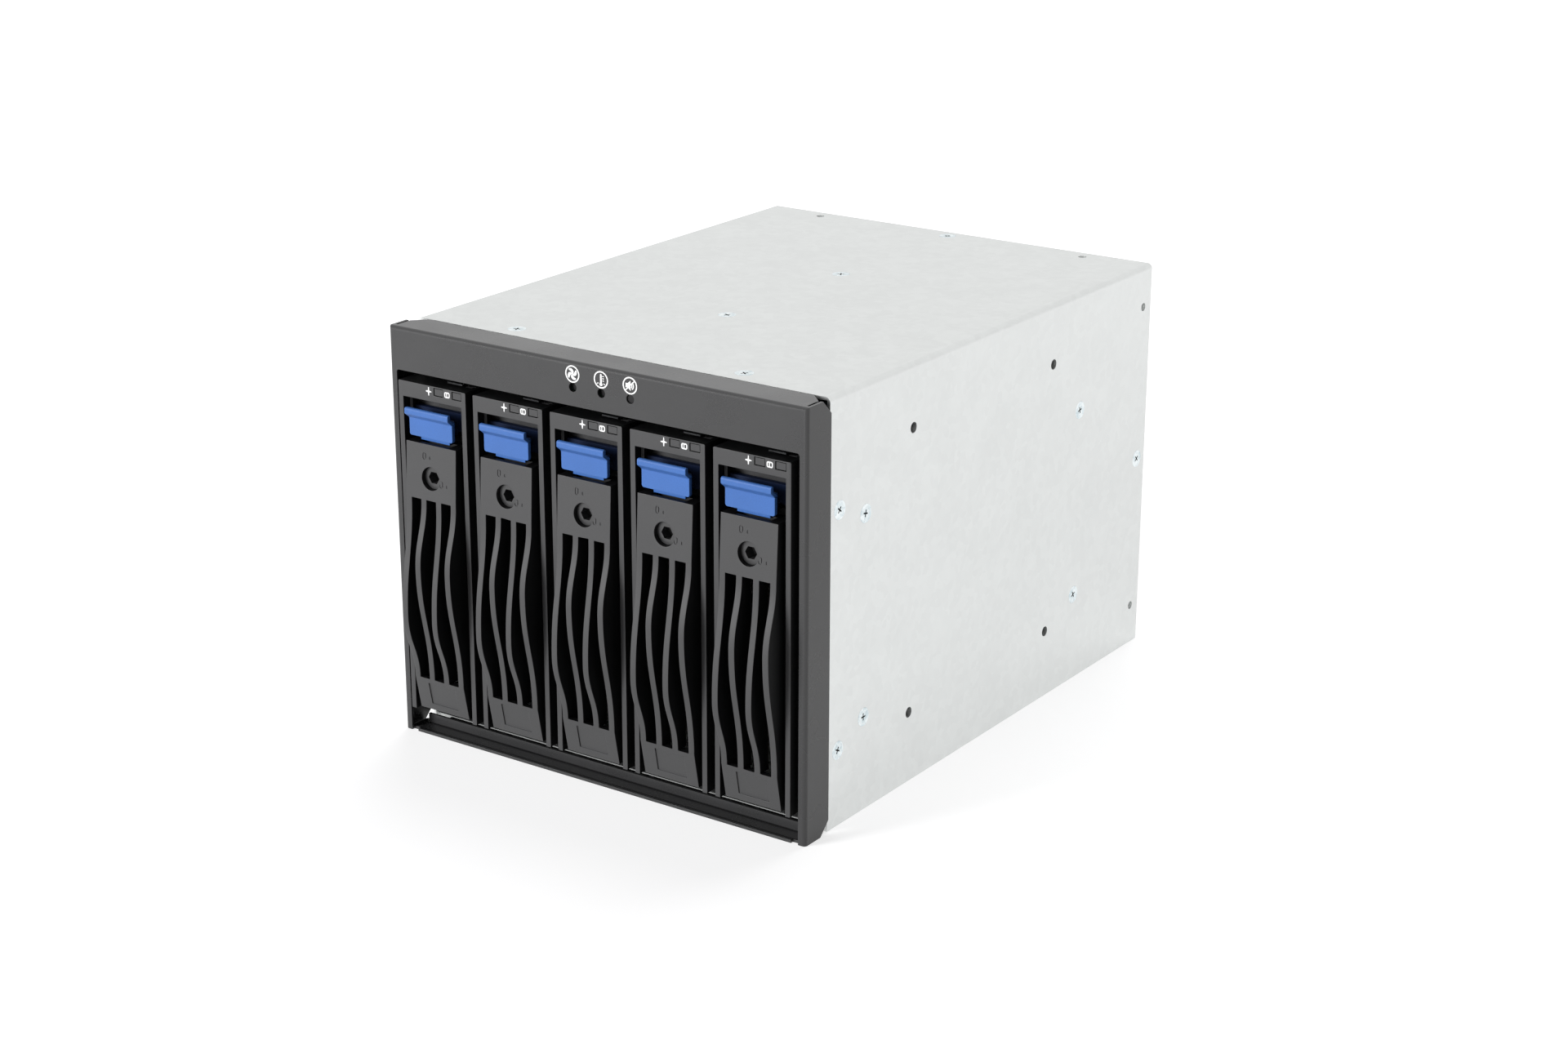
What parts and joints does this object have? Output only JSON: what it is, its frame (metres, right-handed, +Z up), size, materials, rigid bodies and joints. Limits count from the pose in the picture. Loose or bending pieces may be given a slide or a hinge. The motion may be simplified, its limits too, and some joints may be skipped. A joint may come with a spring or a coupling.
{
  "type": "hot swap drive cage",
  "caption": "Drive cage for three 5.25 inch bays, with upright trays for 3.5 inch drives, wave-ribbed swing levers, blue latches, key locks, a backplane and a rear fan.",
  "frame": {"origin": "centre of the bounding box at the underside of the cage", "axes": "+X to the right seen from the front, +Y from the trays to the fan, +Z up"},
  "size_m": [0.1474, 0.2312, 0.1271],
  "materials": {
    "galvanised_steel": "galvanised sheet, satin, faint spangle",
    "black_steel": "satin black powder coat",
    "black_plastic": "matt black ABS, fine grain",
    "blue_plastic": "matt blue ABS",
    "clear_plastic": "clear polycarbonate, frosted ends",
    "ivory_plastic": "unfilled nylon",
    "plated_steel": "bright zinc plating",
    "circuit_board": "green solder mask"
  },
  "bodies": {
    "cage": {"outer_shell": "galvanised_steel", "floor_pan": "galvanised_steel", "front_bezel": "black_steel", "sill_angle": "black_steel", "upper_guide_plate": "galvanised_steel", "top_spine": "galvanised_steel", "upper_rails": "black_plastic", "lower_rails": "black_plastic", "bay_fingers": "galvanised_steel", "rear_panel": "galvanised_steel", "backplane_board": "circuit_board", "drive_connectors": "black_plastic", "data_ports": "black_plastic", "power_sockets": "ivory_plastic", "board_components": "black_plastic", "board_standoffs": "plated_steel", "fan_frame": "black_plastic", "fan_guard": "plated_steel", "fan_screws": "plated_steel", "shell_screws": "plated_steel", "indicator_board": "circuit_board", "alarm_lenses": "clear_plastic"},
    "tray_1": {"tray_1_front": "black_plastic", "tray_1_sled": "galvanised_steel", "tray_1_light_pipes": "clear_plastic", "tray_1_hinge_set": "plated_steel"},
    "lever_1": {"tray_1_lever": "black_plastic"},
    "lock_1": {"tray_1_lock": "black_steel"},
    "latch_1": {"tray_1_latch": "blue_plastic"},
    "tray_2": {"tray_2_front": "black_plastic", "tray_2_sled": "galvanised_steel", "tray_2_light_pipes": "clear_plastic", "tray_2_hinge_set": "plated_steel"},
    "lever_2": {"tray_2_lever": "black_plastic"},
    "lock_2": {"tray_2_lock": "black_steel"},
    "latch_2": {"tray_2_latch": "blue_plastic"},
    "tray_3": {"tray_3_front": "black_plastic", "tray_3_sled": "galvanised_steel", "tray_3_light_pipes": "clear_plastic", "tray_3_hinge_set": "plated_steel"},
    "lever_3": {"tray_3_lever": "black_plastic"},
    "lock_3": {"tray_3_lock": "black_steel"},
    "latch_3": {"tray_3_latch": "blue_plastic"},
    "tray_4": {"tray_4_front": "black_plastic", "tray_4_sled": "galvanised_steel", "tray_4_light_pipes": "clear_plastic", "tray_4_hinge_set": "plated_steel"},
    "lever_4": {"tray_4_lever": "black_plastic"},
    "lock_4": {"tray_4_lock": "black_steel"},
    "latch_4": {"tray_4_latch": "blue_plastic"},
    "tray_5": {"tray_5_front": "black_plastic", "tray_5_sled": "galvanised_steel", "tray_5_light_pipes": "clear_plastic", "tray_5_hinge_set": "plated_steel"},
    "lever_5": {"tray_5_lever": "black_plastic"},
    "lock_5": {"tray_5_lock": "black_steel"},
    "latch_5": {"tray_5_latch": "blue_plastic"},
    "mute": {"mute_button": "black_plastic"},
    "rotor": {"fan_rotor": "black_plastic"}
  },
  "joints": [
    {"name": "tray_1_slide", "type": "slide", "parent": "cage", "child": "tray_1", "axis": [0, -1, 0], "range_m": [0, 0.14]},
    {"name": "lever_1_hinge", "type": "hinge", "parent": "tray_1", "child": "lever_1", "pos_m": [-0.05675, -0.10375, 0.0126], "axis": [1, 0, 0], "range_deg": [0, 60]},
    {"name": "lock_1_turn", "type": "hinge", "parent": "lever_1", "child": "lock_1", "pos_m": [-0.05675, -0.10835, 0.0839], "axis": [0, -1, 0], "range_deg": [0, 90]},
    {"name": "latch_1_lift", "type": "slide", "parent": "tray_1", "child": "latch_1", "axis": [0, 0, 1], "range_m": [0, 0.0022], "stiffness_N_per_m": 300, "springref_m": -0.002},
    {"name": "tray_2_slide", "type": "slide", "parent": "cage", "child": "tray_2", "axis": [0, -1, 0], "range_m": [0, 0.14]},
    {"name": "lever_2_hinge", "type": "hinge", "parent": "tray_2", "child": "lever_2", "pos_m": [-0.02838, -0.10375, 0.0126], "axis": [1, 0, 0], "range_deg": [0, 60]},
    {"name": "lock_2_turn", "type": "hinge", "parent": "lever_2", "child": "lock_2", "pos_m": [-0.02838, -0.10835, 0.0839], "axis": [0, -1, 0], "range_deg": [0, 90]},
    {"name": "latch_2_lift", "type": "slide", "parent": "tray_2", "child": "latch_2", "axis": [0, 0, 1], "range_m": [0, 0.0022], "stiffness_N_per_m": 300, "springref_m": -0.002},
    {"name": "tray_3_slide", "type": "slide", "parent": "cage", "child": "tray_3", "axis": [0, -1, 0], "range_m": [0, 0.14]},
    {"name": "lever_3_hinge", "type": "hinge", "parent": "tray_3", "child": "lever_3", "pos_m": [0, -0.10375, 0.0126], "axis": [1, 0, 0], "range_deg": [0, 60]},
    {"name": "lock_3_turn", "type": "hinge", "parent": "lever_3", "child": "lock_3", "pos_m": [0, -0.10835, 0.0839], "axis": [0, -1, 0], "range_deg": [0, 90]},
    {"name": "latch_3_lift", "type": "slide", "parent": "tray_3", "child": "latch_3", "axis": [0, 0, 1], "range_m": [0, 0.0022], "stiffness_N_per_m": 300, "springref_m": -0.002},
    {"name": "tray_4_slide", "type": "slide", "parent": "cage", "child": "tray_4", "axis": [0, -1, 0], "range_m": [0, 0.14]},
    {"name": "lever_4_hinge", "type": "hinge", "parent": "tray_4", "child": "lever_4", "pos_m": [0.02838, -0.10375, 0.0126], "axis": [1, 0, 0], "range_deg": [0, 60]},
    {"name": "lock_4_turn", "type": "hinge", "parent": "lever_4", "child": "lock_4", "pos_m": [0.02838, -0.10835, 0.0839], "axis": [0, -1, 0], "range_deg": [0, 90]},
    {"name": "latch_4_lift", "type": "slide", "parent": "tray_4", "child": "latch_4", "axis": [0, 0, 1], "range_m": [0, 0.0022], "stiffness_N_per_m": 300, "springref_m": -0.002},
    {"name": "tray_5_slide", "type": "slide", "parent": "cage", "child": "tray_5", "axis": [0, -1, 0], "range_m": [0, 0.14]},
    {"name": "lever_5_hinge", "type": "hinge", "parent": "tray_5", "child": "lever_5", "pos_m": [0.05675, -0.10375, 0.0126], "axis": [1, 0, 0], "range_deg": [0, 60]},
    {"name": "lock_5_turn", "type": "hinge", "parent": "lever_5", "child": "lock_5", "pos_m": [0.05675, -0.10835, 0.0839], "axis": [0, -1, 0], "range_deg": [0, 90]},
    {"name": "latch_5_lift", "type": "slide", "parent": "tray_5", "child": "latch_5", "axis": [0, 0, 1], "range_m": [0, 0.0022], "stiffness_N_per_m": 300, "springref_m": -0.002},
    {"name": "mute_button_press", "type": "slide", "parent": "cage", "child": "mute", "axis": [0, 1, 0], "range_m": [0, 0.0005], "stiffness_N_per_m": 400, "springref_m": -0.0005},
    {"name": "fan_spin", "type": "hinge", "parent": "cage", "child": "rotor", "pos_m": [0, 0.09865, 0.06355], "axis": [0, 1, 0], "continuous": true}
  ]
}
